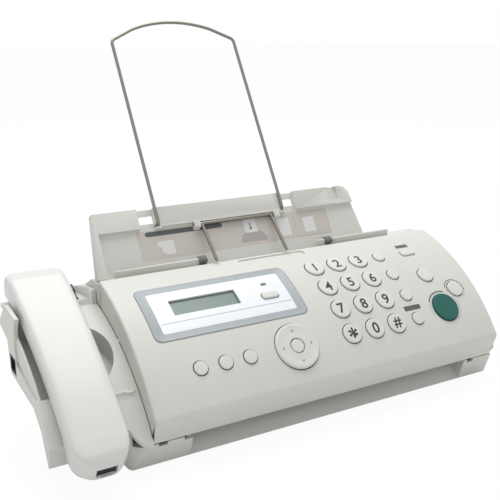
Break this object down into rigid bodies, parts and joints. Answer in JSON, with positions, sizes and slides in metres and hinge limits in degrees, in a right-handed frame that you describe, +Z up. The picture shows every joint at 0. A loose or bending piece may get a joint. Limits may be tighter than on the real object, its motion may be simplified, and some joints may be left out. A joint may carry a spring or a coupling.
{
  "type": "desk fax machine with corded handset",
  "caption": "Desk fax machine: curved keypad cover that hinges open over film rolls and rollers, side cradle with handset, rear paper tray with wire support.",
  "frame": {"origin": "middle of the floor area from the handset's nose to the top of the paper wire, under the rubber feet", "axes": "+X to the right along the keypad, +Y to the back, +Z up; the control panel faces -Y"},
  "size_m": [0.353, 0.2268, 0.2705],
  "materials": {
    "case": "fine satin texture",
    "key_cap": "satin",
    "handset_shell": "smooth satin",
    "display_frame": "satin",
    "lcd": "clear window over a grey-green display",
    "lamp": "frosted",
    "start_cap": "satin",
    "dark_plastic": "satin",
    "rubber": "matt",
    "mat_rubber": "matt",
    "wire": "bright drawn wire",
    "steel": "zinc plated",
    "board": "solder mask",
    "film": "smooth film",
    "gear": "moulded"
  },
  "bodies": {
    "root": {"base_shell": "case", "rear_housing": "case", "cradle": "case", "ear_rest": "case", "feet": "rubber", "case_screws": "steel", "paper_tray": "case", "paper_wire": "wire", "print_head": "steel", "drive_motor": "steel", "circuit_boards": "board", "speaker": "dark_plastic", "sockets": "dark_plastic"},
    "front_cover": {"front_cover": "case", "display_panel": "display_frame", "lcd_screen": "lcd", "answer_lamp": "lamp", "keypad_mat": "mat_rubber", "control_board": "board", "sensor_bar": "dark_plastic"},
    "handset": {"handset_top": "handset_shell", "handset_base": "handset_shell", "handset_fittings": "dark_plastic"},
    "back_door": {"back_door": "case"},
    "hook_lever": {"hook_lever": "dark_plastic"},
    "document_wire": {"document_wire": "wire"},
    "left_guide": {"left_guide": "dark_plastic"},
    "right_guide": {"right_guide": "dark_plastic"},
    "platen_roller": {"platen_roller": "rubber"},
    "takeup_roll": {"takeup_roll": "film"},
    "supply_roll": {"supply_roll": "film"},
    "drive_gear": {"drive_gear": "gear"},
    "document_roller": {"document_roller": "rubber"},
    "pickup_roller": {"pickup_roller": "rubber"},
    "navigator_ring": {"navigator_ring": "key_cap"},
    "key_1": {"key_1": "key_cap"},
    "key_2": {"key_2": "key_cap"},
    "key_3": {"key_3": "key_cap"},
    "key_4": {"key_4": "key_cap"},
    "key_5": {"key_5": "key_cap"},
    "key_6": {"key_6": "key_cap"},
    "key_7": {"key_7": "key_cap"},
    "key_8": {"key_8": "key_cap"},
    "key_9": {"key_9": "key_cap"},
    "key_star": {"key_star": "key_cap"},
    "key_0": {"key_0": "key_cap"},
    "key_hash": {"key_hash": "key_cap"},
    "broadcast_key": {"broadcast_key": "key_cap"},
    "report_key": {"report_key": "key_cap"},
    "menu_key": {"menu_key": "key_cap"},
    "redial_key": {"redial_key": "key_cap"},
    "flash_key": {"flash_key": "key_cap"},
    "mute_key": {"mute_key": "key_cap"},
    "help_key": {"help_key": "key_cap"},
    "quality_key": {"quality_key": "key_cap"},
    "stop_key": {"stop_key": "key_cap"},
    "copy_key": {"copy_key": "key_cap"},
    "start_key": {"start_key": "start_cap"},
    "answer_key": {"answer_key": "key_cap"},
    "set_key": {"set_key": "key_cap"}
  },
  "joints": [
    {"name": "cover_hinge", "type": "hinge", "parent": "root", "child": "front_cover", "pos_m": [0.0315, -0.00187, 0.0969], "axis": [-1, 0, 0], "range_deg": [0, 42]},
    {"name": "door_hinge", "type": "hinge", "parent": "root", "child": "back_door", "pos_m": [0.0195, 0.10163, 0.0135], "axis": [-1, 0, 0], "range_deg": [0, 80]},
    {"name": "handset_lift", "type": "slide", "parent": "root", "child": "handset", "axis": [0, -0.5, 0.866], "range_m": [0, 0.06]},
    {"name": "hook_pivot", "type": "hinge", "parent": "root", "child": "hook_lever", "pos_m": [-0.1265, 0.02663, 0.08003], "axis": [-1, 0, 0], "range_deg": [0, 8]},
    {"name": "document_wire_pivot", "type": "hinge", "parent": "root", "child": "document_wire", "pos_m": [0.00675, 0.02165, 0.12506], "axis": [-1, 0, 0], "range_deg": [0, 75]},
    {"name": "left_guide_slide", "type": "slide", "parent": "root", "child": "left_guide", "axis": [-1, 0, 0], "range_m": [0, 0.052]},
    {"name": "right_guide_slide", "type": "slide", "parent": "root", "child": "right_guide", "axis": [1, 0, 0], "range_m": [0, 0.052]},
    {"name": "drive_gear_spin", "type": "hinge", "parent": "root", "child": "drive_gear", "pos_m": [0.1675, -0.04664, 0.05331], "axis": [1, 0, 0], "continuous": true},
    {"name": "platen_spin", "type": "hinge", "parent": "root", "child": "platen_roller", "pos_m": [0.0315, -0.03837, 0.0275], "axis": [1, 0, 0], "continuous": true},
    {"name": "takeup_spin", "type": "hinge", "parent": "root", "child": "takeup_roll", "pos_m": [0.0315, -0.06037, 0.0335], "axis": [1, 0, 0], "continuous": true},
    {"name": "supply_spin", "type": "hinge", "parent": "root", "child": "supply_roll", "pos_m": [0.0315, -0.02037, 0.0585], "axis": [1, 0, 0], "continuous": true},
    {"name": "document_roller_spin", "type": "hinge", "parent": "root", "child": "document_roller", "pos_m": [0.0265, -0.01237, 0.0815], "axis": [1, 0, 0], "continuous": true},
    {"name": "pickup_roller_spin", "type": "hinge", "parent": "root", "child": "pickup_roller", "pos_m": [0.0065, 0.00863, 0.0825], "axis": [1, 0, 0], "continuous": true},
    {"name": "navigator_rock", "type": "hinge", "parent": "front_cover", "child": "navigator_ring", "pos_m": [-0.0004, -0.07419, 0.05521], "axis": [1, 0, 0], "range_deg": [-3, 3], "stiffness_Nm_per_rad": 0.2},
    {"name": "key_1_press", "type": "slide", "parent": "front_cover", "child": "key_1", "axis": [0, 0.3964, -0.9181], "range_m": [0, 0.001], "stiffness_N_per_m": 600},
    {"name": "key_2_press", "type": "slide", "parent": "front_cover", "child": "key_2", "axis": [0, 0.3964, -0.9181], "range_m": [0, 0.001], "stiffness_N_per_m": 600},
    {"name": "key_3_press", "type": "slide", "parent": "front_cover", "child": "key_3", "axis": [0, 0.3964, -0.9181], "range_m": [0, 0.001], "stiffness_N_per_m": 600},
    {"name": "key_4_press", "type": "slide", "parent": "front_cover", "child": "key_4", "axis": [0, 0.5142, -0.8577], "range_m": [0, 0.001], "stiffness_N_per_m": 600},
    {"name": "key_5_press", "type": "slide", "parent": "front_cover", "child": "key_5", "axis": [0, 0.5142, -0.8577], "range_m": [0, 0.001], "stiffness_N_per_m": 600},
    {"name": "key_6_press", "type": "slide", "parent": "front_cover", "child": "key_6", "axis": [0, 0.5142, -0.8577], "range_m": [0, 0.001], "stiffness_N_per_m": 600},
    {"name": "key_7_press", "type": "slide", "parent": "front_cover", "child": "key_7", "axis": [0, 0.623, -0.7823], "range_m": [0, 0.001], "stiffness_N_per_m": 600},
    {"name": "key_8_press", "type": "slide", "parent": "front_cover", "child": "key_8", "axis": [0, 0.623, -0.7823], "range_m": [0, 0.001], "stiffness_N_per_m": 600},
    {"name": "key_9_press", "type": "slide", "parent": "front_cover", "child": "key_9", "axis": [0, 0.623, -0.7823], "range_m": [0, 0.001], "stiffness_N_per_m": 600},
    {"name": "key_star_press", "type": "slide", "parent": "front_cover", "child": "key_star", "axis": [0, 0.7208, -0.6931], "range_m": [0, 0.001], "stiffness_N_per_m": 600},
    {"name": "key_0_press", "type": "slide", "parent": "front_cover", "child": "key_0", "axis": [0, 0.7208, -0.6931], "range_m": [0, 0.001], "stiffness_N_per_m": 600},
    {"name": "key_hash_press", "type": "slide", "parent": "front_cover", "child": "key_hash", "axis": [0, 0.7208, -0.6931], "range_m": [0, 0.001], "stiffness_N_per_m": 600},
    {"name": "broadcast_key_press", "type": "slide", "parent": "front_cover", "child": "broadcast_key", "axis": [0, 0.7208, -0.6931], "range_m": [0, 0.001], "stiffness_N_per_m": 600},
    {"name": "report_key_press", "type": "slide", "parent": "front_cover", "child": "report_key", "axis": [0, 0.7208, -0.6931], "range_m": [0, 0.001], "stiffness_N_per_m": 600},
    {"name": "menu_key_press", "type": "slide", "parent": "front_cover", "child": "menu_key", "axis": [0, 0.7208, -0.6931], "range_m": [0, 0.001], "stiffness_N_per_m": 600},
    {"name": "redial_key_press", "type": "slide", "parent": "front_cover", "child": "redial_key", "axis": [0, 0.3964, -0.9181], "range_m": [0, 0.001], "stiffness_N_per_m": 600},
    {"name": "flash_key_press", "type": "slide", "parent": "front_cover", "child": "flash_key", "axis": [0, 0.5142, -0.8577], "range_m": [0, 0.001], "stiffness_N_per_m": 600},
    {"name": "mute_key_press", "type": "slide", "parent": "front_cover", "child": "mute_key", "axis": [0, 0.623, -0.7823], "range_m": [0, 0.001], "stiffness_N_per_m": 600},
    {"name": "help_key_press", "type": "slide", "parent": "front_cover", "child": "help_key", "axis": [0, 0.7208, -0.6931], "range_m": [0, 0.001], "stiffness_N_per_m": 600},
    {"name": "quality_key_press", "type": "slide", "parent": "front_cover", "child": "quality_key", "axis": [0, 0.4029, -0.9152], "range_m": [0, 0.001], "stiffness_N_per_m": 600},
    {"name": "stop_key_press", "type": "slide", "parent": "front_cover", "child": "stop_key", "axis": [0, 0.5483, -0.8363], "range_m": [0, 0.001], "stiffness_N_per_m": 600},
    {"name": "copy_key_press", "type": "slide", "parent": "front_cover", "child": "copy_key", "axis": [0, 0.6391, -0.7691], "range_m": [0, 0.001], "stiffness_N_per_m": 600},
    {"name": "start_key_press", "type": "slide", "parent": "front_cover", "child": "start_key", "axis": [0, 0.7035, -0.7107], "range_m": [0, 0.001], "stiffness_N_per_m": 600},
    {"name": "answer_key_press", "type": "slide", "parent": "front_cover", "child": "answer_key", "axis": [0, 0.4991, -0.8666], "range_m": [0, 0.001], "stiffness_N_per_m": 600},
    {"name": "set_key_press", "type": "slide", "parent": "front_cover", "child": "set_key", "axis": [0, 0.7208, -0.6931], "range_m": [0, 0.001], "stiffness_N_per_m": 600}
  ],
  "couplings": [
    {"joint": "hook_pivot", "follows": "handset_lift", "rad_per_m": 2.32},
    {"joint": "right_guide_slide", "follows": "left_guide_slide", "ratio": 1},
    {"joint": "platen_spin", "follows": "drive_gear_spin", "ratio": -1.25},
    {"joint": "takeup_spin", "follows": "drive_gear_spin", "ratio": -1.6667},
    {"joint": "supply_spin", "follows": "drive_gear_spin", "ratio": -1.0753}
  ]
}
